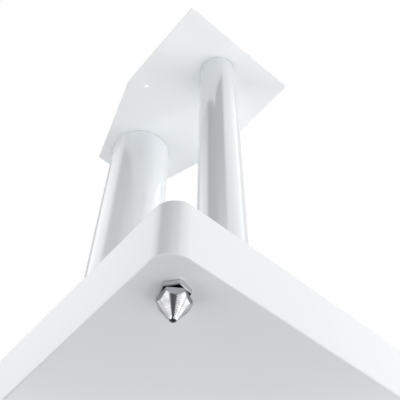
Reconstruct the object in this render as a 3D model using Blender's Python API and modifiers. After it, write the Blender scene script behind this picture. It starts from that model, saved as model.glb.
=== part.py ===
"""Two-column floor stand for a bookshelf loudspeaker.

A slab base stands on four levelling spikes with lock nuts and carries a thick main column and a thin
rear column. Discs in the columns' ends are bolted to the base from below and to the top plate from above.
Units are metres. The origin is on the floor under the centre of the base, +Z is up and the front faces -Y.
"""

import math

import bmesh
import bpy
from mathutils import Matrix

# Whole stand
OVERALL_HEIGHT = 0.600
SEAT_GAP = 0.0003  # between two pieces that bear on each other
FIT_GAP = 0.0003  # radial gap around a piece that is pressed, welded or threaded into another

# Base slab
BASE_WIDTH = 0.304
BASE_DEPTH = 0.400
BASE_THICKNESS = 0.030
BASE_CORNER_RADIUS = 0.0097
BASE_EDGE_RADIUS = 0.0005

# Levelling spikes, on the M6 studs of which the lock nuts run
SPIKE_INSET_X = 0.0145
SPIKE_INSET_Y = 0.0141
STUD_RADIUS = 0.0030
STUD_LENGTH = 0.022
STUD_CHAMFER = 0.0008
SPIKE_ACROSS_FLATS = 0.0106
SPIKE_CORNER_HEIGHT = 0.00185
SPIKE_CONE_HALF_ANGLE = math.radians(32)
SPIKE_TIP_RADIUS = 0.0017
SPIKE_BACK_OFF = 0.0015  # free stud between the spike's head and the lock nut

# Lock nuts
NUT_ACROSS_FLATS = 0.0101
NUT_HEIGHT = 0.0024
NUT_CHAMFER = 0.0003
NUT_SEAT_GAP = 0.0001

# Threaded inserts in the base
INSERT_RADIUS = 0.0044
INSERT_LENGTH = 0.015
INSERT_GROOVES = 2
INSERT_GROOVE_DEPTH = 0.0005
STUD_HOLE_SPARE = 0.005  # depth of the hole above the stud's end

# Columns, both on the middle plane
MAIN_COLUMN_RADIUS = 0.0365
MAIN_COLUMN_WALL = 0.0020
MAIN_COLUMN_FROM_REAR = 0.2902  # axis to the rear edge of the base
REAR_COLUMN_RADIUS = 0.0211
REAR_COLUMN_WALL = 0.0015
REAR_COLUMN_FROM_REAR = 0.1393
COLUMN_CHAMFER = 0.0003
COLUMN_REVEAL = 0.0005  # shadow gap between a column's end and the top plate

# Discs welded into the columns' ends
TOP_DISC_THICKNESS = 0.008
BOTTOM_DISC_THICKNESS = 0.012
DISC_CHAMFER = 0.0006

# Top plate
PLATE_THICKNESS = 0.003
PLATE_WIDE = 0.1488
PLATE_NARROW = 0.0789
PLATE_STRAIGHT = 0.12125  # length of the parallel sides
PLATE_LENGTH = 0.2305
PLATE_FROM_REAR = 0.0980  # its wide edge to the rear edge of the base
PLATE_CORNER_RADIUS = 0.0010
PLATE_EDGE_RADIUS = 0.0002
SPEAKER_HOLE_RADIUS = 0.0025
SPEAKER_HOLE_SPREAD = 0.1080
SPEAKER_HOLE_FROM_WIDE = 0.1107

# Bolts up through the base into the bottom discs
BOLT_RADIUS = 0.0040
BOLT_HEAD_RADIUS = 0.0065
BOLT_HEAD_HEIGHT = 0.0080
BOLT_HEAD_CHAMFER = 0.0006
BOLT_SOCKET_ACROSS_FLATS = 0.0060
BOLT_SOCKET_DEPTH = 0.0040
BOLT_ENGAGEMENT = 0.0095
BOLT_HOLE_CLEARANCE = 0.0005
WASHER_RADIUS = 0.0080
WASHER_THICKNESS = 0.0016
COUNTERBORE_CLEARANCE = 0.0015
BOLT_HEAD_RECESS = 0.0020  # head below the underside
MAIN_BOLT_CIRCLE_RADIUS = 0.0220
MAIN_BOLT_COUNT = 3

# Countersunk screws down through the top plate into the top discs
SCREW_RADIUS = 0.0025
SCREW_HEAD_RADIUS = 0.0046
SCREW_SUNK = 0.0002  # head below the plate's face
SCREW_ENGAGEMENT = 0.0065
SCREW_SOCKET_ACROSS_FLATS = 0.0030
SCREW_SOCKET_DEPTH = 0.0012
MAIN_SCREW_CIRCLE_RADIUS = 0.0240
MAIN_SCREW_COUNT = 3

# Facets
COLUMN_SIDES = 72
TURNED_SIDES = 36
HOLE_SIDES = 24
CORNER_SEGMENTS = 8
EDGE_SEGMENTS = 2
TIP_SEGMENTS = 4
CUT_MARGIN = 0.002  # how far a cutter runs out of the piece
MERGE = 0.00001
SHARP_ANGLE = math.radians(25)

# Each corner: sign along X, sign along Y, the lock nut's and the spike's turn about their axis
CORNERS = {
    "rear_right": (1, 1, math.radians(8.5), math.radians(26)),
    "rear_left": (-1, 1, math.radians(41), math.radians(12)),
    "front_right": (1, -1, math.radians(23), math.radians(50)),
    "front_left": (-1, -1, math.radians(55), math.radians(35)),
}

# Worked out from the sizes above
BASE_REAR = BASE_DEPTH / 2
MAIN_COLUMN_Y = BASE_REAR - MAIN_COLUMN_FROM_REAR
REAR_COLUMN_Y = BASE_REAR - REAR_COLUMN_FROM_REAR
PLATE_REAR = BASE_REAR - PLATE_FROM_REAR
SPIKE_CORNER_RADIUS = SPIKE_ACROSS_FLATS / 2 / math.cos(math.pi / 6)
CONE_APEX_DEPTH = SPIKE_CORNER_RADIUS / math.tan(SPIKE_CONE_HALF_ANGLE)
TIP_CENTRE_DEPTH = CONE_APEX_DEPTH - SPIKE_TIP_RADIUS / math.sin(SPIKE_CONE_HALF_ANGLE)
SPIKE_HEAD_LENGTH = SPIKE_CORNER_HEIGHT + TIP_CENTRE_DEPTH + SPIKE_TIP_RADIUS
BASE_BOTTOM = SPIKE_HEAD_LENGTH + SPIKE_BACK_OFF + NUT_HEIGHT + NUT_SEAT_GAP
BASE_TOP = BASE_BOTTOM + BASE_THICKNESS
PLATE_TOP = OVERALL_HEIGHT
PLATE_BOTTOM = PLATE_TOP - PLATE_THICKNESS
COLUMN_BOTTOM = BASE_TOP + SEAT_GAP
COLUMN_TOP = PLATE_BOTTOM - COLUMN_REVEAL
THREAD_HOLE_RADIUS = STUD_RADIUS + FIT_GAP
BOLT_HEAD_BOTTOM = BASE_BOTTOM + BOLT_HEAD_RECESS
BOLT_HEAD_TOP = BOLT_HEAD_BOTTOM + BOLT_HEAD_HEIGHT
WASHER_BOTTOM = BOLT_HEAD_TOP + SEAT_GAP
COUNTERBORE_TOP = WASHER_BOTTOM + WASHER_THICKNESS + SEAT_GAP
COUNTERSINK_DEPTH = SCREW_HEAD_RADIUS - SCREW_RADIUS  # a 90 degree head


def collection_of(name):
    made = bpy.data.collections.new(name)
    bpy.context.scene.collection.children.link(made)
    return made


def clear_scene():
    for old in list(bpy.data.objects):
        bpy.data.objects.remove(old, do_unlink=True)


def material_of(name, color, roughness, metallic):
    made = bpy.data.materials.new(name)
    made.use_nodes = True
    shader = made.node_tree.nodes["Principled BSDF"]
    shader.inputs["Base Color"].default_value = (*color, 1)
    shader.inputs["Roughness"].default_value = roughness
    shader.inputs["Metallic"].default_value = metallic
    return made


def object_of(name, bm):
    """Turns a bmesh into an object, not yet in any collection."""
    mesh = bpy.data.meshes.new(name)
    bm.to_mesh(mesh)
    bm.free()
    return bpy.data.objects.new(name, mesh)


def prism(name, radius, bottom, top, sides):
    """A round or many-sided prism about Z."""
    bm = bmesh.new()
    bmesh.ops.create_cone(
        bm,
        cap_ends=True,
        segments=sides,
        radius1=radius,
        radius2=radius,
        depth=top - bottom,
        matrix=Matrix.Translation((0, 0, (top + bottom) / 2)),
    )
    return object_of(name, bm)


def hexagon(name, across_flats, bottom, top):
    """A hexagonal prism about Z with a corner on +X."""
    made = prism(name, across_flats / 2 / math.cos(math.pi / 6), bottom, top, 6)
    made.data.transform(Matrix.Rotation(math.pi / 2, 4, "Z"))
    return made


def turned(name, profile, sides, ring=False):
    """Turns (radius, height) points about Z. They run down the outer side; a ring's go back up inside."""
    bm = bmesh.new()
    points = [bm.verts.new((radius, 0, height)) for radius, height in profile]
    for start, end in zip(points, points[1:]):
        bm.edges.new((start, end))
    if ring:
        bm.edges.new((points[-1], points[0]))
    made = object_of(name, bm)
    screw = made.modifiers.new("Turn", "SCREW")
    screw.steps = sides
    screw.render_steps = sides
    screw.use_merge_vertices = True
    screw.merge_threshold = MERGE
    screw.use_smooth_shade = True
    return made


def add_part(obj, material):
    obj.data.materials.clear()
    obj.data.materials.append(material)
    parts.objects.link(obj)


def combine(obj, operation, other):
    """Adds a Boolean of the object with a helper, which goes in the cutters' collection."""
    cutters.objects.link(other)
    other.hide_render = True
    other.display_type = "WIRE"
    boolean = obj.modifiers.new(operation.title(), "BOOLEAN")
    boolean.operation = operation
    boolean.solver = "EXACT"
    boolean.object = other


def frozen(obj):
    """The mesh of a curve, or that an object's modifiers give. The object is removed."""
    cutters.objects.link(obj)
    bpy.context.view_layer.update()
    evaluated = obj.evaluated_get(bpy.context.evaluated_depsgraph_get())
    mesh = bpy.data.meshes.new_from_object(evaluated)
    mesh.name = obj.name
    bpy.data.objects.remove(obj, do_unlink=True)
    mesh.shade_smooth()
    mesh.set_sharp_from_angle(angle=SHARP_ANGLE)
    return mesh


def copies(mesh, material, places):
    """One object for each name: (x, y, turn about Z), sharing the mesh, with its origin on its own axis."""
    for name, (x, y, turn) in places.items():
        made = bpy.data.objects.new(name, mesh)
        made.location = (x, y, 0)
        made.rotation_euler = (0, 0, turn)
        add_part(made, material)


def corner_places(prefix, turn_index=None):
    places = {}
    for corner, values in CORNERS.items():
        x = values[0] * (BASE_WIDTH / 2 - SPIKE_INSET_X)
        y = values[1] * (BASE_DEPTH / 2 - SPIKE_INSET_Y)
        places[f"{prefix}_{corner}"] = (x, y, values[turn_index] if turn_index else 0)
    return places


def circle_places(prefix, centre_y, radius, count):
    """Equal steps on a circle about a column's axis, the first one towards the rear."""
    places = {}
    for step in range(count):
        angle = math.pi / 2 + step * 2 * math.pi / count
        x, y = radius * math.cos(angle), centre_y + radius * math.sin(angle)
        places[f"{prefix}_{step + 1}"] = (x, y, angle)
    return places


def fastener_places(prefix, circle_radius, count):
    places = circle_places(f"main_{prefix}", MAIN_COLUMN_Y, circle_radius, count)
    places[f"rear_{prefix}"] = (0, REAR_COLUMN_Y, 0)
    return places


def bolt_places(prefix):
    return fastener_places(prefix, MAIN_BOLT_CIRCLE_RADIUS, MAIN_BOLT_COUNT)


def screw_places(prefix):
    return fastener_places(prefix, MAIN_SCREW_CIRCLE_RADIUS, MAIN_SCREW_COUNT)


def drill(obj, make_cutter, places):
    """Cuts the same hole at each place, given in world X and Y."""
    for name, (x, y, _) in places.items():
        cutter = make_cutter(f"{obj.name}_{name}_cutter")
        cutter.location = (x, y, 0)
        combine(obj, "DIFFERENCE", cutter)


# ---- Base ----


def round_edges(bm, upright, radius, segments):
    """Rounds the upright edges of a flat piece, or all its level ones."""
    edges = [edge for edge in bm.edges if (abs(edge.verts[0].co.z - edge.verts[1].co.z) > MERGE) == upright]
    bmesh.ops.bevel(bm, geom=edges, offset=radius, segments=segments, profile=0.5, affect="EDGES")


def insert_hole(name):
    top = BASE_BOTTOM - NUT_SEAT_GAP - NUT_HEIGHT - SPIKE_BACK_OFF + STUD_LENGTH + STUD_HOLE_SPARE
    wide, narrow = INSERT_RADIUS + FIT_GAP, THREAD_HOLE_RADIUS
    step = BASE_BOTTOM + INSERT_LENGTH + FIT_GAP
    low = BASE_BOTTOM - CUT_MARGIN
    profile = [(0, top), (narrow, top), (narrow, step), (wide, step), (wide, low), (0, low)]
    return turned(name, profile, HOLE_SIDES)


def bolt_hole(name):
    top = BASE_TOP + CUT_MARGIN
    wide, narrow = WASHER_RADIUS + COUNTERBORE_CLEARANCE, BOLT_RADIUS + BOLT_HOLE_CLEARANCE
    step, low = COUNTERBORE_TOP, BASE_BOTTOM - CUT_MARGIN
    profile = [(0, top), (narrow, top), (narrow, step), (wide, step), (wide, low), (0, low)]
    return turned(name, profile, HOLE_SIDES)


def make_base():
    """A slab with round upright corners and eased upper and lower edges."""
    bm = bmesh.new()
    bmesh.ops.create_cube(bm, size=1)
    bmesh.ops.scale(bm, vec=(BASE_WIDTH, BASE_DEPTH, BASE_THICKNESS), verts=bm.verts)
    bmesh.ops.translate(bm, vec=(0, 0, (BASE_TOP + BASE_BOTTOM) / 2), verts=bm.verts)
    round_edges(bm, True, BASE_CORNER_RADIUS, CORNER_SEGMENTS)
    round_edges(bm, False, BASE_EDGE_RADIUS, EDGE_SEGMENTS)
    base = object_of("base_plate", bm)
    drill(base, insert_hole, corner_places("insert"))
    drill(base, bolt_hole, bolt_places("bolt"))
    add_part(base, white_satin)


# ---- Feet ----


def make_inserts():
    """Turned bushes with barbed grooves, flush with the underside of the base."""
    top = BASE_BOTTOM + INSERT_LENGTH
    pitch = INSERT_LENGTH / (INSERT_GROOVES + 1)
    outer = [(INSERT_RADIUS, top)]
    for groove in range(INSERT_GROOVES):
        crest = top - pitch * (groove + 1)
        outer.append((INSERT_RADIUS, crest + INSERT_GROOVE_DEPTH))
        outer.append((INSERT_RADIUS - INSERT_GROOVE_DEPTH, crest))
        outer.append((INSERT_RADIUS, crest))
    outer.append((INSERT_RADIUS, BASE_BOTTOM))
    inner = [(THREAD_HOLE_RADIUS, BASE_BOTTOM), (THREAD_HOLE_RADIUS, top)]
    mesh = frozen(turned("spike_insert", outer + inner, HOLE_SIDES, ring=True))
    copies(mesh, brass, corner_places("spike_insert"))


def make_spikes():
    """A hexagon cut to a cone with a round tip, on a plain stud that stands for the thread."""
    head_top = SPIKE_HEAD_LENGTH
    cone_start = head_top - SPIKE_CORNER_HEIGHT
    tip_centre = cone_start - TIP_CENTRE_DEPTH
    blank_top = head_top + CUT_MARGIN
    blank_radius = SPIKE_CORNER_RADIUS + (blank_top - cone_start) * math.tan(SPIKE_CONE_HALF_ANGLE)
    profile = [(0, blank_top), (blank_radius, blank_top)]
    for step in range(TIP_SEGMENTS):
        angle = SPIKE_CONE_HALF_ANGLE + (math.pi / 2 - SPIKE_CONE_HALF_ANGLE) * step / TIP_SEGMENTS
        radius, drop = SPIKE_TIP_RADIUS * math.cos(angle), SPIKE_TIP_RADIUS * math.sin(angle)
        profile.append((radius, tip_centre - drop))
    profile.append((0, tip_centre - SPIKE_TIP_RADIUS))
    spike = hexagon("spike", SPIKE_ACROSS_FLATS, -CUT_MARGIN, head_top)
    combine(spike, "INTERSECT", turned("spike_cone_cutter", profile, TURNED_SIDES))
    stud_top = head_top + STUD_LENGTH
    root = cone_start  # the stud is sunk this far into the head
    stud = [
        (0, stud_top),
        (STUD_RADIUS - STUD_CHAMFER, stud_top),
        (STUD_RADIUS, stud_top - STUD_CHAMFER),
        (STUD_RADIUS, root),
        (0, root),
    ]
    combine(spike, "UNION", turned("spike_stud_cutter", stud, HOLE_SIDES))
    copies(frozen(spike), turned_steel, corner_places("spike", 3))


def make_lock_nuts():
    bottom = SPIKE_HEAD_LENGTH + SPIKE_BACK_OFF
    top = bottom + NUT_HEIGHT
    corner = NUT_ACROSS_FLATS / 2 / math.cos(math.pi / 6)
    face = NUT_ACROSS_FLATS / 2 - NUT_CHAMFER
    drop = (corner - face) * math.tan(math.radians(30))
    outer = [(face, top), (corner, top - drop), (corner, bottom + drop), (face, bottom)]
    blank = [(0, top), *outer, (0, bottom)]
    low, high = bottom - CUT_MARGIN, top + CUT_MARGIN
    nut = hexagon("lock_nut", NUT_ACROSS_FLATS, low, high)
    combine(nut, "INTERSECT", turned("lock_nut_chamfer_cutter", blank, TURNED_SIDES))
    combine(nut, "DIFFERENCE", prism("lock_nut_bore_cutter", THREAD_HOLE_RADIUS, low, high, HOLE_SIDES))
    copies(frozen(nut), plated_steel, corner_places("lock_nut", 2))


# ---- Columns ----


def make_column(prefix, centre_y, radius, wall):
    """A tube with chamfered ends, between the base and the shadow gap under the top plate."""
    inner = radius - wall
    profile = [
        (inner, COLUMN_TOP),
        (radius - COLUMN_CHAMFER, COLUMN_TOP),
        (radius, COLUMN_TOP - COLUMN_CHAMFER),
        (radius, COLUMN_BOTTOM + COLUMN_CHAMFER),
        (radius - COLUMN_CHAMFER, COLUMN_BOTTOM),
        (inner, COLUMN_BOTTOM),
    ]
    name = f"{prefix}_column"
    tube = frozen(turned(name, profile, COLUMN_SIDES, ring=True))
    copies(tube, white_gloss, {name: (0, centre_y, 0)})


def make_disc(name, centre_y, radius, bottom, top, hole_radius, places):
    """A disc with chamfered rims and a tapped hole at each place."""
    profile = [
        (0, top),
        (radius - DISC_CHAMFER, top),
        (radius, top - DISC_CHAMFER),
        (radius, bottom + DISC_CHAMFER),
        (radius - DISC_CHAMFER, bottom),
        (0, bottom),
    ]
    disc = turned(name, profile, TURNED_SIDES)
    low, high = bottom - CUT_MARGIN, top + CUT_MARGIN
    for hole, (x, y, _) in places.items():
        cutter = prism(f"{name}_{hole}_cutter", hole_radius, low, high, HOLE_SIDES)
        cutter.location = (x, y - centre_y, 0)
        combine(disc, "DIFFERENCE", cutter)
    copies(frozen(disc), bare_steel, {name: (0, centre_y, 0)})


def make_discs(prefix, centre_y, inner_radius):
    radius = inner_radius - FIT_GAP
    bolts = {name: spot for name, spot in bolt_places("bolt").items() if name.startswith(prefix)}
    screws = {name: spot for name, spot in screw_places("screw").items() if name.startswith(prefix)}
    low, high = COLUMN_BOTTOM, COLUMN_BOTTOM + BOTTOM_DISC_THICKNESS
    make_disc(f"{prefix}_column_bottom_disc", centre_y, radius, low, high, BOLT_RADIUS + FIT_GAP, bolts)
    low, high = PLATE_BOTTOM - SEAT_GAP - TOP_DISC_THICKNESS, PLATE_BOTTOM - SEAT_GAP
    make_disc(f"{prefix}_column_top_disc", centre_y, radius, low, high, SCREW_RADIUS + FIT_GAP, screws)


# ---- Top plate ----


def speaker_holes():
    y = PLATE_REAR - SPEAKER_HOLE_FROM_WIDE
    return {"left": (-SPEAKER_HOLE_SPREAD / 2, y, 0), "right": (SPEAKER_HOLE_SPREAD / 2, y, 0)}


def speaker_hole(name):
    return prism(name, SPEAKER_HOLE_RADIUS, PLATE_BOTTOM - CUT_MARGIN, PLATE_TOP + CUT_MARGIN, HOLE_SIDES)


def screw_hole(name):
    """A clearance hole with a 90 degree countersink, the gap to the screw the same all round."""
    narrow = SCREW_RADIUS + FIT_GAP
    wide = SCREW_HEAD_RADIUS + FIT_GAP
    high, low = PLATE_TOP + CUT_MARGIN, PLATE_BOTTOM - CUT_MARGIN
    rim = PLATE_TOP - SCREW_SUNK
    cone_end = rim - (wide - narrow)
    profile = [(0, high), (wide, high), (wide, rim), (narrow, cone_end), (narrow, low), (0, low)]
    return turned(name, profile, HOLE_SIDES)


def make_plate():
    """The elongated outline: parallel sides at the rear, drawn in to a narrower front edge."""
    wide, narrow = PLATE_WIDE / 2, PLATE_NARROW / 2
    shoulder, front = PLATE_REAR - PLATE_STRAIGHT, PLATE_REAR - PLATE_LENGTH
    left = [(-wide, PLATE_REAR), (-wide, shoulder), (-narrow, front)]
    outline = left + [(-x, y) for x, y in reversed(left)]
    curve = bpy.data.curves.new("top_plate_outline", "CURVE")
    curve.dimensions = "2D"
    curve.fill_mode = "BOTH"
    curve.extrude = PLATE_THICKNESS / 2
    spline = curve.splines.new("POLY")
    spline.points.add(len(outline) - 1)
    for point, (x, y) in zip(spline.points, outline):
        point.co = (x, y, 0, 1)
    spline.use_cyclic_u = True
    sheet = bpy.data.objects.new("top_plate_outline", curve)
    bm = bmesh.new()
    bm.from_mesh(frozen(sheet))
    bmesh.ops.remove_doubles(bm, verts=bm.verts, dist=MERGE)
    bmesh.ops.translate(bm, vec=(0, 0, (PLATE_TOP + PLATE_BOTTOM) / 2), verts=bm.verts)
    bmesh.ops.dissolve_limit(bm, angle_limit=math.radians(1), verts=bm.verts, edges=bm.edges)
    round_edges(bm, True, PLATE_CORNER_RADIUS, EDGE_SEGMENTS)
    round_edges(bm, False, PLATE_EDGE_RADIUS, 1)
    bmesh.ops.recalc_face_normals(bm, faces=bm.faces)
    plate = object_of("top_plate", bm)
    drill(plate, speaker_hole, speaker_holes())
    drill(plate, screw_hole, screw_places("screw"))
    add_part(plate, white_satin)


# ---- Fasteners ----


def make_bolts():
    """Socket-head bolts, head down in the counterbores."""
    top = COLUMN_BOTTOM + BOLT_ENGAGEMENT
    profile = [
        (0, top),
        (BOLT_RADIUS - BOLT_HEAD_CHAMFER, top),
        (BOLT_RADIUS, top - BOLT_HEAD_CHAMFER),
        (BOLT_RADIUS, BOLT_HEAD_TOP),
        (BOLT_HEAD_RADIUS, BOLT_HEAD_TOP),
        (BOLT_HEAD_RADIUS, BOLT_HEAD_BOTTOM + BOLT_HEAD_CHAMFER),
        (BOLT_HEAD_RADIUS - BOLT_HEAD_CHAMFER, BOLT_HEAD_BOTTOM),
        (0, BOLT_HEAD_BOTTOM),
    ]
    bolt = turned("base_bolt", profile, HOLE_SIDES)
    low, ceiling = BOLT_HEAD_BOTTOM - CUT_MARGIN, BOLT_HEAD_BOTTOM + BOLT_SOCKET_DEPTH
    combine(bolt, "DIFFERENCE", hexagon("base_bolt_socket_cutter", BOLT_SOCKET_ACROSS_FLATS, low, ceiling))
    copies(frozen(bolt), plated_steel, bolt_places("base_bolt"))


def make_washers():
    top, hole = WASHER_BOTTOM + WASHER_THICKNESS, BOLT_RADIUS + FIT_GAP
    profile = [(WASHER_RADIUS, top), (WASHER_RADIUS, WASHER_BOTTOM), (hole, WASHER_BOTTOM), (hole, top)]
    mesh = frozen(turned("base_washer", profile, HOLE_SIDES, ring=True))
    copies(mesh, plated_steel, bolt_places("base_washer"))


def make_screws():
    """Countersunk socket screws, head up and just under the plate's face."""
    top = PLATE_TOP - SCREW_SUNK
    low = PLATE_BOTTOM - SEAT_GAP - SCREW_ENGAGEMENT
    neck = top - COUNTERSINK_DEPTH
    profile = [(0, top), (SCREW_HEAD_RADIUS, top), (SCREW_RADIUS, neck), (SCREW_RADIUS, low), (0, low)]
    screw = turned("top_screw", profile, HOLE_SIDES)
    floor, high = top - SCREW_SOCKET_DEPTH, top + CUT_MARGIN
    combine(screw, "DIFFERENCE", hexagon("top_screw_socket_cutter", SCREW_SOCKET_ACROSS_FLATS, floor, high))
    copies(frozen(screw), plated_steel, screw_places("top_screw"))


clear_scene()
parts = collection_of("speaker_stand")
cutters = collection_of("cutters")
cutters.hide_render = True
white_satin = material_of("white_satin", (0.86, 0.87, 0.88), 0.35, 0)
white_gloss = material_of("white_gloss", (0.87, 0.88, 0.89), 0.18, 0)
turned_steel = material_of("turned_steel", (0.72, 0.72, 0.73), 0.25, 1)
plated_steel = material_of("plated_steel", (0.62, 0.62, 0.63), 0.35, 1)
bare_steel = material_of("bare_steel", (0.45, 0.45, 0.46), 0.5, 1)
brass = material_of("brass", (0.72, 0.55, 0.28), 0.4, 1)

make_base()
make_inserts()
make_spikes()
make_lock_nuts()
for prefix, centre_y, radius, wall in (
    ("main", MAIN_COLUMN_Y, MAIN_COLUMN_RADIUS, MAIN_COLUMN_WALL),
    ("rear", REAR_COLUMN_Y, REAR_COLUMN_RADIUS, REAR_COLUMN_WALL),
):
    make_column(prefix, centre_y, radius, wall)
    make_discs(prefix, centre_y, radius - wall)
make_plate()
make_bolts()
make_washers()
make_screws()
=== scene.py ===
import math

import bpy
import numpy as np
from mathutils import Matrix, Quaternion, Vector


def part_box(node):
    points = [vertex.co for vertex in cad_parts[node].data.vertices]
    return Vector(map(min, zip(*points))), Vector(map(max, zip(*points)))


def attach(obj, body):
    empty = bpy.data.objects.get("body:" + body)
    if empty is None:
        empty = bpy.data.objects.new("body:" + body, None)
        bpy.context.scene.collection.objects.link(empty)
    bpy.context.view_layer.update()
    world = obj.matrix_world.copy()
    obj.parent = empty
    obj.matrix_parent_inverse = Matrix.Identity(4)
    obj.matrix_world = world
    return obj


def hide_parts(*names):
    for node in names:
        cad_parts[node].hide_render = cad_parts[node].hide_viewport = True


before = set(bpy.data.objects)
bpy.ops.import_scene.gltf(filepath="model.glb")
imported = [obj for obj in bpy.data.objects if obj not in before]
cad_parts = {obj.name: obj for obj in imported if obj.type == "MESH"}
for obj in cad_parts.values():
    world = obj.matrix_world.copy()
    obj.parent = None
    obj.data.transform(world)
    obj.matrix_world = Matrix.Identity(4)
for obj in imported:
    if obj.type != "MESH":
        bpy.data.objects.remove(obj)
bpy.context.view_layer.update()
print("frame loaded with", len(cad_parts), "nodes")

# Lengths below are in metres and angles in degrees.
cornerNames = ("rear_right", "rear_left", "front_right", "front_left")


def boxOf(node):
    low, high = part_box(node)
    return np.array(low), np.array(high)


def fromArrays(name, points, quads, triangles, sharpAngle):
    # Whole arrays of vertices and faces. The faces are turned round if the signed volume is negative.
    fans = np.concatenate([quads[:, [0, 1, 2]], quads[:, [0, 2, 3]], triangles])
    a, b, c = (points[fans[:, k]] for k in range(3))
    if np.einsum("ij,ij->i", a, np.cross(b, c)).sum() < 0:
        quads, triangles = quads[:, ::-1], triangles[:, ::-1]
    mesh = bpy.data.meshes.new(name)
    mesh.vertices.add(len(points))
    mesh.vertices.foreach_set("co", points.astype(np.float32).ravel())
    corners = np.concatenate([quads.ravel(), triangles.ravel()]).astype(np.int32)
    starts = np.concatenate([np.arange(len(quads)) * 4, quads.size + np.arange(len(triangles)) * 3])
    mesh.loops.add(len(corners))
    mesh.loops.foreach_set("vertex_index", corners)
    mesh.polygons.add(len(starts))
    mesh.polygons.foreach_set("loop_start", starts.astype(np.int32))
    mesh.update(calc_edges=True)
    mesh.shade_smooth()
    mesh.set_sharp_from_angle(angle=math.radians(sharpAngle))
    piece = bpy.data.objects.new(name, mesh)
    bpy.context.scene.collection.objects.link(piece)
    return piece


def loft(name, rings, closed=False, sharpAngle=32):
    # rings[row, step] are closed loops one after the other, each joined to the next. Then either the last
    # loop is joined to the first, or both ends are closed by a fan around the loop's middle.
    rows, steps = rings.shape[:2]
    index = np.arange(rows * steps).reshape(rows, steps)
    lower, upper = (index, np.roll(index, -1, 0)) if closed else (index[:-1], index[1:])
    quads = np.stack([lower, np.roll(lower, -1, 1), np.roll(upper, -1, 1), upper], -1).reshape(-1, 4)
    points = rings.reshape(-1, 3)
    triangles = np.zeros((0, 3), int)
    if not closed:
        points = np.concatenate([points, rings[:1].mean(1), rings[-1:].mean(1)])
        first, last = index[0], index[-1]
        start, end = (np.full(steps, rows * steps + k) for k in (0, 1))
        triangles = np.concatenate([np.stack([start, np.roll(first, -1), first], -1),
                                    np.stack([end, last, np.roll(last, -1)], -1)])
    return fromArrays(name, points, quads, triangles, sharpAngle)


def turnedRings(radius, height, centre, steps, turn=0.0):
    # x = radius cos a, y = radius sin a, z = height. Radius and height are one number per row, or one per
    # row and angle.
    angle = np.linspace(0, 2 * np.pi, steps, endpoint=False) + turn
    columns = [np.asarray(value, float) for value in (radius, height)]
    radius, height = (value if value.ndim == 2 else value[:, None] + 0 * angle for value in columns)
    return np.stack([centre[0] + radius * np.cos(angle), centre[1] + radius * np.sin(angle), height], -1)


def hexRadius(acrossFlats, steps):
    # Distance from the axis to a hexagon's side: half its width over cos of the angle off the side's middle.
    angle = np.linspace(0, 2 * np.pi, steps, endpoint=False)
    return acrossFlats / 2 / np.cos(angle % (np.pi / 3) - np.pi / 6)


def stackRows(rows, steps):
    radius, height = zip(*rows)
    return np.stack([np.broadcast_to(value, steps) for value in radius]), \
        np.stack([np.broadcast_to(value, steps) for value in height])


def edgeRound(steps, start=0):
    # A quarter circle from a flat face to a side: how far in from the side, and how far down from the face.
    angle = np.radians(np.linspace(start, 90, steps + 1))
    return 1 - np.sin(angle), 1 - np.cos(angle)


def outlineLoop(corners, radius, inset, steps):
    # A convex outline with round corners, counterclockwise. Each corner is an arc about the point that lies
    # one radius from both sides. An inset loop keeps those points and has the shorter radius.
    corners = np.asarray(corners, float)
    along = np.roll(corners, -1, 0) - corners
    along /= np.linalg.norm(along, axis=1)[:, None]
    after = np.stack([along[:, 1], -along[:, 0]], -1)
    before = np.roll(after, 1, 0)
    centres = corners - (before + after) * (radius / (1 + (before * after).sum(1)))[:, None]
    start = np.arctan2(before[:, 1], before[:, 0])
    sweep = (np.arctan2(after[:, 1], after[:, 0]) - start) % (2 * np.pi)
    angle = start[:, None] + sweep[:, None] * np.linspace(0, 1, steps + 1)
    arcs = np.stack([np.cos(angle), np.sin(angle)], -1) * (radius - inset)
    return (centres[:, None] + arcs).reshape(-1, 2)


def slab(name, corners, shape, low, high):
    # The outline carried from under the lower face round its edge, up the side and in over the upper face.
    # The rows one support width from each rounded edge keep the flat faces flat in the shading.
    edge, support = shape["edgeRadius"], shape["support"]
    inward, down = edgeRound(shape["edgeSteps"])
    inset = np.concatenate([[edge + support], edge * inward, [0, 0], edge * inward[::-1], [edge + support]])
    height = np.concatenate([[low], low + edge * down, [low + edge + support],
                             [high - edge - support], high - edge * down[::-1], [high]])
    loops = [outlineLoop(corners, shape["cornerRadius"], d, shape["cornerSteps"]) for d in inset]
    rings = [np.column_stack([loop, np.full(len(loop), z)]) for loop, z in zip(loops, height)]
    return loft(name, np.stack(rings))


cutterShape = dict(overrun=0.002, rimSteps=5, rimStart=12, steps=64, blindSteps=48)


def holeCutter(centre, sections, ease):
    # A stack of (radius, from, to) bores. The first runs out below its start and the last above its end;
    # there the bore flares by the quarter round that eases the hole's rim.
    inward, down = edgeRound(cutterShape["rimSteps"], start=cutterShape["rimStart"])
    overrun = cutterShape["overrun"]
    radius, height = [], []
    (first, low, _), (last, _, high) = sections[0], sections[-1]
    radius.append([first + ease * inward[0]])
    height.append([low - overrun])
    radius.append(first + ease * inward)
    height.append(low + ease * down)
    for size, start, end in sections:
        radius.append([size, size])
        height.append([start + ease * (start == low), end - ease * (end == high)])
    radius.append(last + ease * inward[::-1])
    height.append(high - ease * down[::-1])
    radius.append([last + ease * inward[0]])
    height.append([high + overrun])
    radius, height = np.concatenate(radius), np.concatenate(height)
    keep = np.concatenate([[True], (np.diff(radius) != 0) | (np.diff(height) != 0)])
    return loft("cutter", turnedRings(radius[keep], height[keep], centre, cutterShape["steps"]))


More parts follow.
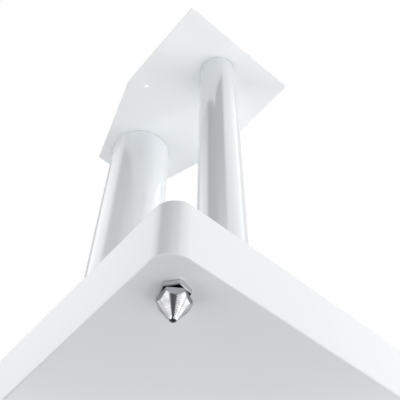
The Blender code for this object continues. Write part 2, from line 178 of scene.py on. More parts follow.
def cutOut(piece, cutters, sharpAngle=32):
    # Takes the cutters away one after the other and keeps only the resulting mesh.
    for cutter in cutters:
        cut = piece.modifiers.new("cut", "BOOLEAN")
        cut.solver = "EXACT"
        cut.object = cutter
    bpy.context.view_layer.update()
    result = bpy.data.meshes.new_from_object(piece.evaluated_get(bpy.context.evaluated_depsgraph_get()))
    piece.modifiers.clear()
    piece.data = result
    for cutter in cutters:
        bpy.data.objects.remove(cutter, do_unlink=True)
    result.set_sharp_from_angle(angle=math.radians(sharpAngle))
    return piece


def finish(piece, material, body, slotName, *nodes):
    piece.data.materials.clear()
    piece.data.materials.append(material)
    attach(piece, body)
    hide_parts(*nodes)


def addNode(tree, kind, inputs=None, **settings):
    made = tree.nodes.new(kind)
    for name, value in settings.items():
        setattr(made, name, value)
    for key, value in (inputs or {}).items():
        if isinstance(value, bpy.types.NodeSocket):
            tree.links.new(value, made.inputs[key])
        else:
            made.inputs[key].default_value = value
    return made


def newGroup(name, inputs, outputs):
    # inputs: name to (socket type, default). Returns the tree, its input node and its output node.
    tree = bpy.data.node_groups.new(name, "ShaderNodeTree")
    for key, (kind, value) in inputs.items():
        socket = tree.interface.new_socket(key, in_out="INPUT", socket_type=kind)
        if value is not None:
            socket.default_value = value
    for key, kind in outputs.items():
        tree.interface.new_socket(key, in_out="OUTPUT", socket_type=kind)
    return tree, tree.nodes.new("NodeGroupInput").outputs, tree.nodes.new("NodeGroupOutput")


paintGrain = dict(peelDetail=2.0, peelRoughness=0.45, cloudScale=14.0, cloudDetail=4.0, cloudSpan=(0.2, 0.8),
                  shadeShare=0.4, nibScale=210.0, nibRadius=0.05, nibHeight=0.6)
latheGrain = dict(stretch=(0.02, 0.02, 1.0), ringDetail=2.0, ringRoughness=0.6, mottleScale=500.0,
                  mottleDetail=3.0, toneSpan=(0.12, 0.4))


def buildPaintGroup():
    # Sprayed paint: orange peel for the height, cloudy gloss, a faint drift of tone and fine dust nibs.
    tree, given, result = newGroup("sprayedPaint", {
        "Vector": ("NodeSocketVector", None), "Color": ("NodeSocketColor", (0.8, 0.8, 0.8, 1)),
        "Shade": ("NodeSocketColor", (0.7, 0.7, 0.7, 1)), "Peel Scale": ("NodeSocketFloat", 400.0),
        "Gloss Low": ("NodeSocketFloat", 0.2), "Gloss High": ("NodeSocketFloat", 0.3),
        "Dust": ("NodeSocketFloat", 0.3),
    }, {"Color": "NodeSocketColor", "Roughness": "NodeSocketFloat", "Height": "NodeSocketFloat"})
    vector, grain = given["Vector"], paintGrain
    cloudLow, cloudHigh = grain["cloudSpan"]
    peel = addNode(tree, "ShaderNodeTexNoise", {"Vector": vector, "Scale": given["Peel Scale"],
                                                "Detail": grain["peelDetail"],
                                                "Roughness": grain["peelRoughness"]})
    cloud = addNode(tree, "ShaderNodeTexNoise", {"Vector": vector, "Scale": grain["cloudScale"],
                                                 "Detail": grain["cloudDetail"]})
    tone = addNode(tree, "ShaderNodeMapRange", {"Value": cloud.outputs["Fac"], "From Min": cloudLow,
                                                "From Max": cloudHigh, "To Max": grain["shadeShare"]},
                   interpolation_type="SMOOTHERSTEP")
    nibs = addNode(tree, "ShaderNodeTexVoronoi", {"Vector": vector, "Scale": grain["nibScale"]}, feature="F1")
    nib = addNode(tree, "ShaderNodeMapRange", {"Value": nibs.outputs["Distance"],
                                               "From Min": grain["nibRadius"], "From Max": 0.0},
                  interpolation_type="SMOOTHSTEP")
    dust = addNode(tree, "ShaderNodeMath", {0: nib.outputs[0], 1: given["Dust"]}, operation="MULTIPLY")
    amount = addNode(tree, "ShaderNodeMath", {0: tone.outputs[0], 1: dust.outputs[0]}, operation="ADD",
                     use_clamp=True)
    color = addNode(tree, "ShaderNodeMix", {"Factor": amount.outputs[0], "A": given["Color"],
                                            "B": given["Shade"]}, data_type="RGBA")
    gloss = addNode(tree, "ShaderNodeMapRange", {"Value": cloud.outputs["Fac"], "From Min": cloudLow,
                                                 "From Max": cloudHigh, "To Min": given["Gloss Low"],
                                                 "To Max": given["Gloss High"]},
                    interpolation_type="SMOOTHERSTEP")
    height = addNode(tree, "ShaderNodeMath", {0: nib.outputs[0], 1: grain["nibHeight"],
                                              2: peel.outputs["Fac"]},
                     operation="MULTIPLY_ADD")
    tree.links.new(color.outputs["Result"], result.inputs["Color"])
    tree.links.new(gloss.outputs[0], result.inputs["Roughness"])
    tree.links.new(height.outputs[0], result.inputs["Height"])
    return tree


def buildLatheGroup():
    # Turned or rolled metal: fine rings at constant height, uneven from ring to ring, over a soft mottle.
    tree, given, result = newGroup("turnedMetal", {
        "Vector": ("NodeSocketVector", None), "Color": ("NodeSocketColor", (0.7, 0.7, 0.7, 1)),
        "Shade": ("NodeSocketColor", (0.5, 0.5, 0.5, 1)), "Ring Scale": ("NodeSocketFloat", 2500.0),
        "Gloss Low": ("NodeSocketFloat", 0.15), "Gloss High": ("NodeSocketFloat", 0.3),
    }, {"Color": "NodeSocketColor", "Roughness": "NodeSocketFloat", "Height": "NodeSocketFloat"})
    grain = latheGrain
    toneLow, toneHigh = grain["toneSpan"]
    stretched = addNode(tree, "ShaderNodeVectorMath", {0: given["Vector"], 1: grain["stretch"]},
                        operation="MULTIPLY")
    rings = addNode(tree, "ShaderNodeTexNoise", {"Vector": stretched.outputs[0], "Scale": given["Ring Scale"],
                                                 "Detail": grain["ringDetail"],
                                                 "Roughness": grain["ringRoughness"]})
    mottle = addNode(tree, "ShaderNodeTexNoise", {"Vector": given["Vector"], "Scale": grain["mottleScale"],
                                                  "Detail": grain["mottleDetail"]})
    both = addNode(tree, "ShaderNodeMath", {0: rings.outputs["Fac"], 1: mottle.outputs["Fac"]},
                   operation="MULTIPLY")
    amount = addNode(tree, "ShaderNodeMapRange", {"Value": both.outputs[0], "From Min": toneLow,
                                                  "From Max": toneHigh})
    color = addNode(tree, "ShaderNodeMix", {"Factor": amount.outputs[0], "A": given["Shade"],
                                            "B": given["Color"]}, data_type="RGBA")
    gloss = addNode(tree, "ShaderNodeMapRange", {"Value": both.outputs[0], "From Min": toneLow,
                                                 "From Max": toneHigh, "To Min": given["Gloss High"],
                                                 "To Max": given["Gloss Low"]})
    tree.links.new(color.outputs["Result"], result.inputs["Color"])
    tree.links.new(gloss.outputs[0], result.inputs["Roughness"])
    tree.links.new(rings.outputs["Fac"], result.inputs["Height"])
    return tree


def paintedEndShade(tree, place, color, between, tone):
    # Painted shade and painted reflection: faces that look along the axis are darkened, for the shade in the
    # gap between lock nut and spike head and the dark reflection on the spike's tip.
    facing = addNode(tree, "ShaderNodeSeparateXYZ", {"Vector": place.outputs["Normal"]})
    along = addNode(tree, "ShaderNodeMath", {0: facing.outputs["Z"]}, operation="ABSOLUTE")
    mask = addNode(tree, "ShaderNodeMapRange", {"Value": along.outputs[0], "From Min": between[0],
                                                "From Max": between[1], "To Max": 1 - tone},
                   interpolation_type="SMOOTHSTEP")
    mixed = addNode(tree, "ShaderNodeMix", {"Factor": mask.outputs[0], "A": color, "B": (0, 0, 0, 1)},
                    data_type="RGBA")
    return mixed.outputs["Result"]


def makeMaterial(name, group, look):
    material = bpy.data.materials.new(name)
    material.use_nodes = True
    tree = material.node_tree
    shader = tree.nodes["Principled BSDF"]
    place = addNode(tree, "ShaderNodeTexCoord")
    surface = addNode(tree, "ShaderNodeGroup", {}, node_tree=group)
    tree.links.new(place.outputs["Object"], surface.inputs["Vector"])
    for key, value in look["group"].items():
        surface.inputs[key].default_value = value
    bump = addNode(tree, "ShaderNodeBump", {"Height": surface.outputs["Height"], "Strength": look["bump"],
                                            "Distance": look["depth"]})
    color = surface.outputs["Color"]
    if "endShadeMask" in look:
        # Painted shade: the colour of faces that look along the axis is darkened here.
        color = paintedEndShade(tree, place, color, look["endShadeMask"], look["endShadeTone"])
    tree.links.new(color, shader.inputs["Base Color"])
    tree.links.new(surface.outputs["Roughness"], shader.inputs["Roughness"])
    tree.links.new(bump.outputs["Normal"], shader.inputs["Normal"])
    for key, value in look["shader"].items():
        shader.inputs[key].default_value = value
    return material


def rgba(red, green, blue):
    return (red, green, blue, 1)


looks = {
    "baseLacquer": dict(
        group={"Color": rgba(0.735, 0.760, 0.782), "Shade": rgba(0.710, 0.735, 0.757), "Peel Scale": 700.0,
               "Gloss Low": 0.29, "Gloss High": 0.35, "Dust": 0.15},
        bump=0.10, depth=0.0002, shader={"IOR": 1.5, "Coat Weight": 1.0, "Coat Roughness": 0.12}),
    "mainPaint": dict(
        group={"Color": rgba(0.865, 0.895, 0.92), "Shade": rgba(0.84, 0.87, 0.895), "Peel Scale": 320.0,
               "Gloss Low": 0.13, "Gloss High": 0.18, "Dust": 0.1},
        bump=0.02, depth=0.0003,
        shader={"IOR": 1.5, "Coat Weight": 1.0, "Coat Roughness": 0.12, "Coat IOR": 1.5}),
    # Painted shade: a darker copy of the white column paint, so that the thin rear column shows deeper
    # shading than the main one.
    "rearPaint": dict(
        group={"Color": rgba(0.675, 0.707, 0.735), "Shade": rgba(0.647, 0.679, 0.709), "Peel Scale": 320.0,
               "Gloss Low": 0.11, "Gloss High": 0.16, "Dust": 0.1},
        bump=0.02, depth=0.0003,
        shader={"IOR": 1.5, "Coat Weight": 1.0, "Coat Roughness": 0.09, "Coat IOR": 1.8}),
    "platePaint": dict(
        group={"Color": rgba(0.93, 0.958, 0.975), "Shade": rgba(0.905, 0.935, 0.955), "Peel Scale": 500.0,
               "Gloss Low": 0.30, "Gloss High": 0.38, "Dust": 0.15},
        bump=0.10, depth=0.0002, shader={"IOR": 1.5}),
}
metalLooks = {
    "turnedSteel": dict(
        group={"Color": rgba(0.62, 0.62, 0.635), "Shade": rgba(0.48, 0.48, 0.50), "Ring Scale": 2000.0,
               "Gloss Low": 0.06, "Gloss High": 0.24},
        # Painted shade and painted reflection: the head's top face in the gap under the lock nut, and the
        # tip, are darkened.
        bump=0.25, depth=0.00005, endShadeMask=(0.72, 0.82), endShadeTone=0.16,
        shader={"Metallic": 1.0, "Specular Tint": rgba(0.55, 0.55, 0.58)}),
    "nutPlating": dict(
        group={"Color": rgba(0.72, 0.72, 0.735), "Shade": rgba(0.58, 0.58, 0.60), "Ring Scale": 3000.0,
               "Gloss Low": 0.16, "Gloss High": 0.26},
        # Painted shade: the lock nut's end faces, in the gap above the spike head, are darkened.
        bump=0.2, depth=0.00005, endShadeMask=(0.90, 0.98), endShadeTone=0.12,
        shader={"Metallic": 1.0, "Specular Tint": rgba(0.75, 0.75, 0.77)}),
    "fastenerPlating": dict(
        group={"Color": rgba(0.62, 0.63, 0.64), "Shade": rgba(0.46, 0.47, 0.49), "Ring Scale": 2200.0,
               "Gloss Low": 0.28, "Gloss High": 0.45},
        bump=0.2, depth=0.00006, shader={"Metallic": 1.0}),
    "discSteel": dict(
        group={"Color": rgba(0.45, 0.45, 0.46), "Shade": rgba(0.30, 0.30, 0.31), "Ring Scale": 1500.0,
               "Gloss Low": 0.35, "Gloss High": 0.55},
        bump=0.3, depth=0.0001, shader={"Metallic": 1.0}),
    "insertBrass": dict(
        group={"Color": rgba(0.72, 0.54, 0.26), "Shade": rgba(0.55, 0.38, 0.16), "Ring Scale": 2600.0,
               "Gloss Low": 0.25, "Gloss High": 0.42},
        bump=0.25, depth=0.00006, shader={"Metallic": 1.0}),
}
paintGroup, latheGroup = buildPaintGroup(), buildLatheGroup()
materials = {name: makeMaterial(name, paintGroup, look) for name, look in looks.items()}
materials.update({name: makeMaterial(name, latheGroup, look) for name, look in metalLooks.items()})
print("materials made:", len(materials))


baseShape = dict(cornerRadius=0.0097, cornerSteps=24, edgeRadius=0.0005, edgeSteps=5, support=0.0006,
                 holeEase=0.0003, insertGap=0.0003, studGap=0.0003, studSpare=0.005,
                 counterboreGap=0.0015, boltHoleRadius=0.0045, washerSeat=0.0003)


def makeBase():
    shape = baseShape
    low, high = boxOf("base_plate")
    corners = [(high[0], low[1]), (high[0], high[1]), (low[0], high[1]), (low[0], low[1])]
    base = slab("baseSlab", corners, shape, low[2], high[2])
    cutters = []
    for name in cornerNames:
        insertLow, insertHigh = boxOf(f"spike_insert_{name}")
        middle = (insertLow + insertHigh) / 2
        wide = (insertHigh[0] - insertLow[0]) / 2 + shape["insertGap"]
        step = insertHigh[2] + shape["insertGap"]
        studEnd = boxOf(f"spike_{name}")[1][2] + shape["studSpare"]
        cutters.append(blindCutter(middle, wide, low[2], step, spikeShape["studRadius"] + shape["studGap"],
                                   studEnd))
    for name in boltNames:
        washerLow, washerHigh = boxOf(f"{name[0]}_base_washer{name[1]}")
        middle = (washerLow + washerHigh) / 2
        wide = (washerHigh[0] - washerLow[0]) / 2 + shape["counterboreGap"]
        step = washerHigh[2] + shape["washerSeat"]
        sections = [(wide, low[2], step), (shape["boltHoleRadius"], step, high[2])]
        cutters.append(holeCutter(middle, sections, shape["holeEase"]))
    cutOut(base, cutters)
    finish(base, materials["baseLacquer"], "stand", "base_lacquer", "base_plate")


def blindCutter(centre, wide, low, step, narrow, top):
    # A bore from the underside up to a step and a narrower one beyond it, closed at the top.
    radius = [wide, wide, narrow, narrow]
    height = [low - cutterShape["overrun"], step, step, top]
    return loft("cutter", turnedRings(radius, height, centre, cutterShape["blindSteps"]))


columnShape = dict(wall={"main": 0.0020, "rear": 0.0015}, steps=288, edgeRadius=0.0003, edgeSteps=4,
                   support=0.0008)


def makeColumn(prefix):
    # A tube: up the outside, round the rim, down the inside and round the lower rim.
    low, high = boxOf(f"{prefix}_column")
    outer = (high[0] - low[0]) / 2
    inner = outer - columnShape["wall"][prefix]
    edge, support = columnShape["edgeRadius"], columnShape["support"]
    inward, down = edgeRound(columnShape["edgeSteps"])
    bottom, top = low[2], high[2]
    upRadius = np.concatenate([outer - edge * inward, [outer, outer], outer - edge * inward[::-1]])
    upHeight = np.concatenate([bottom + edge * down, [bottom + support, top - support],
                               top - edge * down[::-1]])
    downRadius = np.concatenate([inner + edge * inward, [inner, inner], inner + edge * inward[::-1]])
    rings = turnedRings(np.concatenate([upRadius, downRadius]), np.concatenate([upHeight, upHeight[::-1]]),
                        (low + high) / 2, columnShape["steps"])
    # The rear tube gets the darker copy of the column paint, which stands in for shade.
    finish(loft(f"{prefix}Tube", rings, closed=True), materials[f"{prefix}Paint"], "stand", "column_paint",
           f"{prefix}_column")


plateShape = dict(narrow=0.0789, straight=0.12125, cornerRadius=0.0010, cornerSteps=6, edgeRadius=0.00025,
                  edgeSteps=3, support=0.0004, holeEase=0.00015, holeRadius=0.0025, holeSpread=0.1080,
                  holeFromWide=0.1107, sinkGap=0.0003)


def makePlate():
    shape = plateShape
    low, high = boxOf("top_plate")
    wide, narrow, shoulder = high[0], shape["narrow"] / 2, high[1] - shape["straight"]
    corners = [(wide, high[1]), (-wide, high[1]), (-wide, shoulder), (-narrow, low[1]), (narrow, low[1]),
               (wide, shoulder)]
    plate = slab("topPlate", corners, shape, low[2], high[2])
    cutters = []
    for side in (-1, 1):
        centre = (side * shape["holeSpread"] / 2, high[1] - shape["holeFromWide"])
        cutters.append(holeCutter(centre, [(shape["holeRadius"], low[2], high[2])], shape["holeEase"]))
    for name in boltNames:
        screwLow, screwHigh = boxOf(f"{name[0]}_top_screw{name[1]}")
        middle = (screwLow + screwHigh) / 2
        head = (screwHigh[0] - screwLow[0]) / 2 + shape["sinkGap"]
        neck = screwShape["radius"] + shape["sinkGap"]
        radius = [neck, neck, head, head]
        height = [low[2] - cutterShape["overrun"], screwHigh[2] - (head - neck), screwHigh[2],
                  high[2] + cutterShape["overrun"]]
        cutters.append(loft("cutter", turnedRings(radius, height, middle, cutterShape["steps"])))
    cutOut(plate, cutters)
    finish(plate, materials["platePaint"], "stand", "plate_paint", "top_plate")


spikeShape = dict(acrossFlats=0.0106, cornerHeight=0.00185, coneHalfAngle=32, tipRadius=0.0017,
                  studRadius=0.0030, neckRadius=0.00235, neckLength=0.0007, topEase=0.00008,
                  neckStep=0.0002, threadPitch=0.0010, threadDepth=0.00058, threadStart=0.0003,
                  threadStop=0.0008, endBevel=0.0008, ringPitch=0.00058, ringDepth=0.000022,
                  ringFade=(12, 40), tipRows=9, tipStart=88, coneRows=170, steps=144,
                  turns={"rear_right": 26, "rear_left": 12, "front_right": 50, "front_left": 35})
nutShape = dict(acrossFlats=0.0101, bevelIn=0.00022, bevelUp=0.00040, boreRadius=0.00305, boreEase=0.00035,
                steps=144, turns={"rear_right": 8.5, "rear_left": 41, "front_right": 23, "front_left": 55})


def threadRows(low, high, major, depth, pitch, angle, rowsPerPitch=12):
    # radius = major - depth (1 + cos(2 pi (z / pitch - a / 2 pi))) / 2, a helix that climbs one pitch a turn.
    height = np.linspace(low, high, int((high - low) / pitch * rowsPerPitch) + 1)
    wave = np.cos(2 * np.pi * height[:, None] / pitch - angle)
    return major - depth * (1 + wave) / 2, height[:, None] + 0 * angle


def makeSpike(name):
    # From the round tip up: a sphere's cap, the ringed cone as far as the flats cut into it, the flats, the
    # top face, the neck and the threaded stud. Rows follow the curved line where cone and flats meet.
    shape = spikeShape
    low, high = boxOf(f"spike_{name}")
    steps = shape["steps"]
    angle = np.linspace(0, 2 * np.pi, steps, endpoint=False)
    flats = hexRadius(shape["acrossFlats"], steps)
    half = math.radians(shape["coneHalfAngle"])
    tip = shape["tipRadius"]
    apex = low[2] + tip - tip / math.sin(half)
    coneStart = apex + flats.max() / math.tan(half)
    headTop = coneStart + shape["cornerHeight"]
    ball = np.linspace(math.radians(shape["tipStart"]), half, shape["tipRows"])
    radius = [tip * np.cos(ball)[:, None] + 0 * angle]
    height = [(low[2] + tip - tip * np.sin(ball))[:, None] + 0 * angle]
    tangent = low[2] + tip - tip * math.sin(half)
    meeting = apex + flats / math.tan(half)
    share = np.linspace(0, 1, shape["coneRows"])[1:, None]
    coneHeight = tangent + share * (meeting - tangent)
    rings = (1 + np.cos(2 * np.pi * (coneHeight - tangent) / (shape["ringPitch"] * math.cos(half)))) / 2
    fadeIn, fadeOut = shape["ringFade"]
    fade = np.clip(share * fadeIn, 0, 1) * np.clip((1 - share) * fadeOut, 0, 1)
    radius.append((coneHeight - apex) * math.tan(half) - shape["ringDepth"] * rings * fade)
    height.append(coneHeight)
    ease, neck, step = shape["topEase"], shape["neckRadius"], shape["neckStep"]
    for inset, level in ((0, headTop - ease), (ease, headTop), (4 * ease, headTop)):
        radius.append((flats - inset)[None])
        height.append(np.full((1, steps), level))
    for size, level in ((neck + step, headTop), (neck, headTop + step),
                        (neck, headTop + shape["neckLength"])):
        radius.append(np.full((1, steps), size))
        height.append(np.full((1, steps), level))
    threadLow = headTop + shape["neckLength"] + shape["threadStart"]
    threadHigh = high[2] - shape["threadStop"]
    wound = threadRows(threadLow, threadHigh, shape["studRadius"], shape["threadDepth"],
                       shape["threadPitch"], angle)
    radius.append(wound[0])
    height.append(wound[1])
    radius.append(np.full((1, steps), shape["studRadius"] - shape["endBevel"]))
    height.append(np.full((1, steps), high[2]))
    rings = turnedRings(np.concatenate(radius), np.concatenate(height), (low + high) / 2, steps,
                        math.radians(shape["turns"][name]))
    spike = loft(f"spike_{name}_turned", rings, sharpAngle=30)
    finish(spike, materials["turnedSteel"], f"spike_{name}", "turned_steel", f"spike_{name}")


def makeNut(name):
    # Round the section: up the bore, out over the face, down the bevelled edge and the flats, and back in
    # below.
    shape = nutShape
    low, high = boxOf(f"lock_nut_{name}")
    steps = shape["steps"]
    flats = hexRadius(shape["acrossFlats"], steps)
    bore, ease = shape["boreRadius"], shape["boreEase"]
    inward, upward = shape["bevelIn"], shape["bevelUp"]
    upper = [(bore, high[2] - ease), (bore + ease, high[2]), (flats - 2 * inward, high[2]),
             (flats - inward, high[2]), (flats, high[2] - upward), (flats, high[2] - 1.5 * upward)]
    lower = [(size, low[2] + high[2] - level) for size, level in reversed(upper)]
    radius, height = stackRows(upper + lower, steps)
    rings = turnedRings(radius, height, (low + high) / 2, steps, math.radians(shape["turns"][name]))
    nut = loft(f"lock_nut_{name}_hex", rings, closed=True, sharpAngle=25)
    finish(nut, materials["nutPlating"], f"lock_nut_{name}", "nut_plating", f"lock_nut_{name}")


boltNames = (("main", "_1"), ("main", "_2"), ("main", "_3"), ("rear", ""))
boltShape = dict(socket=0.0060, socketDepth=0.0040, headHeight=0.0080, radius=0.0040, knurls=36,
                 knurlDepth=0.00012, knurlStart=1.3, knurlStop=0.0008, socketRim=0.0003, edge=0.0006,
                 edgeSteps=4, seatRise=0.0006, seatEase=0.0001, shank=0.002, pitch=0.00125,
                 threadDepth=0.0007, threadStart=0.0022, threadStop=0.0007, endBevel=0.0007, steps=216)
screwShape = dict(socket=0.0030, socketDepth=0.0012, socketRim=0.0002, faceEase=0.0002, edge=0.00005,
                  side=0.0001, shank=0.0004, radius=0.0025, pitch=0.0008, threadDepth=0.00045,
                  threadStart=0.0005, threadStop=0.0004, endBevel=0.0004, steps=96)
washerShape = dict(bore=0.0043, edge=0.00025, edgeSteps=3, steps=96)
socketShape = dict(floorWidth=0.5, floorDepth=1.08)
fastenerRows = 8  # rows to one pitch of thread


def socketRows(acrossFlats, depth, face, rim, steps):
    # A hexagonal socket seen from outside: its floor, its walls and a small cone out to a circle.
    # Heights are measured into the head from its face.
    flats = hexRadius(acrossFlats, steps)
    even = np.ones(steps)
    return [(flats * socketShape["floorWidth"], depth * socketShape["floorDepth"] * even),
            (flats, depth * even), (flats, rim * even), ((flats.max() + rim) * even, 0 * even),
            ((flats.max() + 2 * rim) * even, 0 * even), (face * even, 0 * even)]


def makeBolt(name):
    # A socket-head bolt, head down: socket, rounded face, knurled side, seat, neck and thread.
    shape = boltShape
    node = f"{name[0]}_base_bolt{name[1]}"
    low, high = boxOf(node)
    steps = shape["steps"]
    angle = np.linspace(0, 2 * np.pi, steps, endpoint=False)
    head = (high[0] - low[0]) / 2
    edge, tall = shape["edge"], shape["headHeight"]
    rows = socketRows(shape["socket"], shape["socketDepth"], head - edge, shape["socketRim"], steps)
    inward, down = edgeRound(shape["edgeSteps"])
    rows += [(head - edge * i, edge * d) for i, d in zip(inward[1:], down[1:])]
    knurled = head - shape["knurlDepth"] * (1 + np.cos(shape["knurls"] * angle)) / 2
    ease = shape["seatEase"]
    rows += [(knurled, edge * shape["knurlStart"]), (knurled, tall - shape["knurlStop"]),
             (head, tall - shape["seatRise"]), (head, tall - ease), (head - ease, tall),
             (shape["radius"], tall), (shape["radius"], tall + shape["shank"])]
    radius, height = stackRows(rows, steps)
    wound = threadRows(tall + shape["threadStart"], high[2] - low[2] - shape["threadStop"], shape["radius"],
                       shape["threadDepth"], shape["pitch"], angle, fastenerRows)
    radius = np.concatenate([radius, wound[0], np.full((1, steps), shape["radius"] - shape["endBevel"])])
    height = np.concatenate([height, wound[1], np.full((1, steps), high[2] - low[2])])
    rings = turnedRings(radius, low[2] + height, (low + high) / 2, steps)
    finish(loft(f"{node}_socket_head", rings), materials["fastenerPlating"], "stand", "fastener_plating",
           node)


def makeScrew(name):
    # A countersunk screw, head up: socket, flat face, cone and thread.
    shape = screwShape
    node = f"{name[0]}_top_screw{name[1]}"
    low, high = boxOf(node)
    steps = shape["steps"]
    angle = np.linspace(0, 2 * np.pi, steps, endpoint=False)
    head = (high[0] - low[0]) / 2
    rows = socketRows(shape["socket"], shape["socketDepth"], head - shape["faceEase"], shape["socketRim"],
                      steps)
    coneEnd = head - shape["radius"]
    edge, side = shape["edge"], shape["side"]
    rows += [(head - edge, 0.0), (head, edge), (head, side), (shape["radius"], coneEnd + side),
             (shape["radius"], coneEnd + shape["shank"])]
    radius, height = stackRows(rows, steps)
    wound = threadRows(coneEnd + shape["threadStart"], high[2] - low[2] - shape["threadStop"],
                       shape["radius"], shape["threadDepth"], shape["pitch"], angle, fastenerRows)
    radius = np.concatenate([radius, wound[0], np.full((1, steps), shape["radius"] - shape["endBevel"])])
    height = np.concatenate([height, wound[1], np.full((1, steps), high[2] - low[2])])
    rings = turnedRings(radius, high[2] - height, (low + high) / 2, steps)
    finish(loft(f"{node}_countersunk", rings), materials["fastenerPlating"], "stand", "fastener_plating",
           node)


def makeWasher(name):
    node = f"{name[0]}_base_washer{name[1]}"
    low, high = boxOf(node)
    outer, inner, edge = (high[0] - low[0]) / 2, washerShape["bore"], washerShape["edge"]
    inward, down = edgeRound(washerShape["edgeSteps"])
    radius = np.concatenate([outer - edge * inward, outer - edge * inward[::-1], [inner + edge, inner, inner,
                                                                                 inner + edge]])
    height = np.concatenate([low[2] + edge * down, high[2] - edge * down[::-1],
                             [high[2], high[2] - edge, low[2] + edge, low[2]]])
    rings = turnedRings(radius, height, (low + high) / 2, washerShape["steps"])
    finish(loft(f"{node}_ring", rings, closed=True), materials["fastenerPlating"], "stand",
           "fastener_plating", node)


makeBase()
makePlate()
for prefix in ("main", "rear"):
    makeColumn(prefix)
print("base, plate and columns made")
for cornerName in cornerNames:
    makeSpike(cornerName)
    makeNut(cornerName)
for boltName in boltNames:
    makeBolt(boltName)
    makeWasher(boltName)
    makeScrew(boltName)
print("spikes, nuts and fasteners made")


def paintNode(node, materialName):
    kept = bpy.data.objects[node]
    kept.data.materials.clear()
    kept.data.materials.append(materials[materialName])


for cornerName in cornerNames:
    paintNode(f"spike_insert_{cornerName}", "insertBrass")
for prefix in ("main", "rear"):
    for end in ("bottom", "top"):
        paintNode(f"{prefix}_column_{end}_disc", "discSteel")
print("inserts and discs painted")


stageLook = dict(floorReach=6.0, fade=(0.5, 2.2), floorColor=rgba(0.94, 0.94, 0.95))
# Soft panels round the stand: azimuth, elevation, half width, half height, soft border and level. Angles are
# in degrees, and the azimuth counts from the dark side.
studioLook = dict(
    darkAzimuth=53.4, roomLevel=0.15, ceilingLevel=0.85, ceilingFrom=(70, 85),
    panels=dict(
        rightHigh=(65, 45, 35, 15, 15, 1.05),
        rightLow=(40, 5, 20, 20, 10, 1.5),
        rightDeep=(85, -20, 25, 15, 15, 1.15),
        backHigh=(160, 40, 50, 25, 20, 0.65),
        backLow=(120, -5, 30, 10, 15, 0.95),
        leftHigh=(260, 30, 20, 20, 20, 1.3),
        leftLow=(295, -15, 25, 5, 15, 1.45),
        under=(55, -55, 45, 10, 15, 1.6),
        underLeft=(280, -45, 20, 10, 15, 1.8),
        front=(5, 40, 15, 5, 15, 0.9),
        step=(180, -25, 45, 10, 5, 1.45)))
cameraView = dict(place=(0.22962, 0.30955, -0.15287), heading=-140.398, rise=55.049, roll=1.036, lens=60.614,
                  sensor=36)


def softStep(tree, value, inner, outer):
    # One up to the inner value, nothing past the outer one, smooth in between.
    step = addNode(tree, "ShaderNodeMapRange", {"Value": value, "From Min": inner, "From Max": outer,
                                                "To Min": 1.0, "To Max": 0.0},
                   interpolation_type="SMOOTHSTEP")
    return step.outputs[0]


def makeFloor():
    # Only a camera above it sees it, with the stand's shadow. A camera below looks through, and all other
    # rays pass. It fades into the white distance, so there is no horizon.
    size = stageLook["floorReach"]
    mesh = bpy.data.meshes.new("floor")
    mesh.from_pydata([(-size, -size, 0), (size, -size, 0), (size, size, 0), (-size, size, 0)], [],
                     [(0, 1, 2, 3)])
    floor = bpy.data.objects.new("floor", mesh)
    bpy.context.scene.collection.objects.link(floor)
    material = bpy.data.materials.new("floorPale")
    material.use_nodes = True
    tree = material.node_tree
    tree.nodes.clear()
    path = addNode(tree, "ShaderNodeLightPath")
    side = addNode(tree, "ShaderNodeNewGeometry")
    above = addNode(tree, "ShaderNodeMath", {0: 1.0, 1: side.outputs["Backfacing"]}, operation="SUBTRACT")
    seen = addNode(tree, "ShaderNodeMath", {0: above.outputs[0], 1: path.outputs["Is Camera Ray"]},
                   operation="MULTIPLY")
    place = addNode(tree, "ShaderNodeTexCoord")
    away = addNode(tree, "ShaderNodeVectorMath", {0: place.outputs["Object"]}, operation="LENGTH")
    near, far = stageLook["fade"]
    fade = softStep(tree, away.outputs["Value"], near, far)
    amount = addNode(tree, "ShaderNodeMath", {0: seen.outputs[0], 1: fade}, operation="MULTIPLY")
    matt = addNode(tree, "ShaderNodeBsdfDiffuse", {"Color": stageLook["floorColor"]})
    clear = addNode(tree, "ShaderNodeBsdfTransparent")
    mix = addNode(tree, "ShaderNodeMixShader", {0: amount.outputs[0], 1: clear.outputs[0],
                                                2: matt.outputs[0]})
    addNode(tree, "ShaderNodeOutputMaterial", {"Surface": mix.outputs[0]})
    mesh.materials.append(material)


def panelLevel(tree, azimuth, elevation, panel):
    heading, rise, halfWidth, halfHeight, border, level = panel
    turn = addNode(tree, "ShaderNodeMath", {0: azimuth, 1: heading}, operation="SUBTRACT")
    wrapped = addNode(tree, "ShaderNodeMath", {0: turn.outputs[0], 1: 180.0, 2: -180.0}, operation="WRAP")
    aside = addNode(tree, "ShaderNodeMath", {0: wrapped.outputs[0]}, operation="ABSOLUTE")
    climb = addNode(tree, "ShaderNodeMath", {0: elevation, 1: rise}, operation="SUBTRACT")
    above = addNode(tree, "ShaderNodeMath", {0: climb.outputs[0]}, operation="ABSOLUTE")
    across = softStep(tree, aside.outputs[0], halfWidth, halfWidth + border)
    upright = softStep(tree, above.outputs[0], halfHeight, halfHeight + border)
    both = addNode(tree, "ShaderNodeMath", {0: across, 1: upright}, operation="MULTIPLY")
    return addNode(tree, "ShaderNodeMath", {0: both.outputs[0], 1: level}, operation="MULTIPLY").outputs[0]


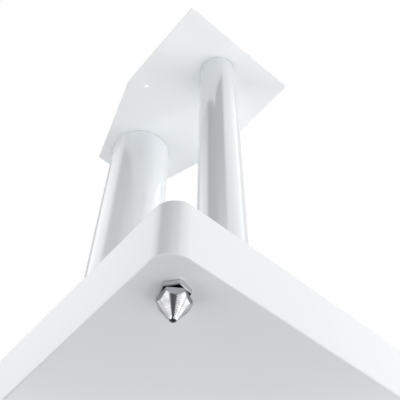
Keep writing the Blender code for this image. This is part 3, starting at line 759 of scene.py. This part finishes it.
def makeWorld():
    # The camera sees plain white. Paint and metal see the room, the ceiling and the panels added up.
    look = studioLook
    world = bpy.data.worlds.new("studio")
    bpy.context.scene.world = world
    world.use_nodes = True
    tree = world.node_tree
    tree.nodes.clear()
    place = addNode(tree, "ShaderNodeTexCoord")
    axes = addNode(tree, "ShaderNodeSeparateXYZ", {0: place.outputs["Generated"]})
    turn = addNode(tree, "ShaderNodeMath", {0: axes.outputs["Y"], 1: axes.outputs["X"]}, operation="ARCTAN2")
    azimuth = addNode(tree, "ShaderNodeMath", {0: turn.outputs[0], 1: math.degrees(1),
                                               2: -look["darkAzimuth"]}, operation="MULTIPLY_ADD")
    rise = addNode(tree, "ShaderNodeMath", {0: axes.outputs["Z"]}, operation="ARCSINE")
    elevation = addNode(tree, "ShaderNodeMath", {0: rise.outputs[0], 1: math.degrees(1)},
                        operation="MULTIPLY")
    fromZenith = addNode(tree, "ShaderNodeMath", {0: 90.0, 1: elevation.outputs[0]}, operation="SUBTRACT")
    low, high = look["ceilingFrom"]
    ceiling = softStep(tree, fromZenith.outputs[0], 90 - high, 90 - low)
    level = addNode(tree, "ShaderNodeMath", {0: ceiling, 1: look["ceilingLevel"], 2: look["roomLevel"]},
                    operation="MULTIPLY_ADD").outputs[0]
    for panel in look["panels"].values():
        part = panelLevel(tree, azimuth.outputs[0], elevation.outputs[0], panel)
        level = addNode(tree, "ShaderNodeMath", {0: level, 1: part}, operation="ADD").outputs[0]
    soft = addNode(tree, "ShaderNodeBackground", {"Color": level, "Strength": 1.0})
    path = addNode(tree, "ShaderNodeLightPath")
    white = addNode(tree, "ShaderNodeBackground", {"Color": rgba(1, 1, 1), "Strength": 1.0})
    mix = addNode(tree, "ShaderNodeMixShader", {0: path.outputs["Is Camera Ray"], 1: soft.outputs[0],
                                                2: white.outputs[0]})
    addNode(tree, "ShaderNodeOutputWorld", {"Surface": mix.outputs[0]})


def makeCamera():
    view = cameraView
    data = bpy.data.cameras.new("camera")
    data.lens = view["lens"]
    data.sensor_width = view["sensor"]
    data.clip_start = 0.01
    camera = bpy.data.objects.new("camera", data)
    heading, rise = math.radians(view["heading"]), math.radians(view["rise"])
    ahead = Vector((math.sin(heading) * math.cos(rise), math.cos(heading) * math.cos(rise), math.sin(rise)))
    turn = ahead.to_track_quat("-Z", "Y") @ Quaternion((0, 0, 1), math.radians(view["roll"]))
    camera.rotation_euler = turn.to_euler()
    camera.location = view["place"]
    bpy.context.scene.collection.objects.link(camera)
    bpy.context.scene.camera = camera


makeFloor()
makeWorld()
makeCamera()
bpy.context.scene.view_settings.view_transform = "Standard"
print("stage, light and camera set")
